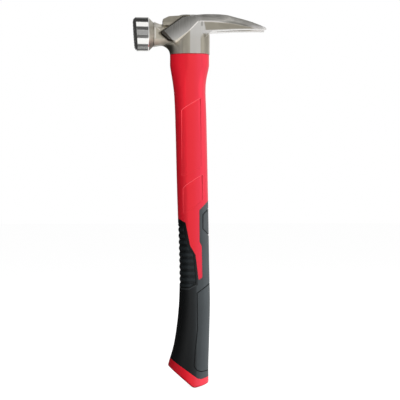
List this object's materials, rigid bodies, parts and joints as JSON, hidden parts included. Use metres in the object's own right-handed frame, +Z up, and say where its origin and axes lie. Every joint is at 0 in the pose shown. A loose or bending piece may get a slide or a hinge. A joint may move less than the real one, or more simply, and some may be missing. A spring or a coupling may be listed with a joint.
{
  "type": "framing hammer",
  "caption": "Rip claw framing hammer: milled striking face, nail slot between straight claws, moulded jacket on a fibreglass core and a soft ribbed grip.",
  "frame": {"origin": "under the middle of the head's length, level with the lowest point of the butt", "axes": "+Z up the handle to the head, -X towards the striking face, +X towards the claws, Y across the cheeks"},
  "size_m": [0.145, 0.0368, 0.4041],
  "materials": {
    "forged_steel": "forged, with ground and polished bell",
    "magnet": "nickel plated",
    "fibreglass": "pultruded glass fibre",
    "resin": "cast epoxy",
    "red_plastic": "satin moulded",
    "red_cap_plastic": "satin moulded",
    "grey_rubber": "soft overmould",
    "black_rubber": "soft ribbed overmould"
  },
  "bodies": {
    "root": {"head": "forged_steel", "nail_set_magnet": "magnet", "fibreglass_core": "fibreglass", "eye_resin": "resin", "jacket": "red_plastic", "butt_cap": "red_cap_plastic", "grip": "grey_rubber", "finger_grip": "black_rubber"}
  },
  "joints": []
}
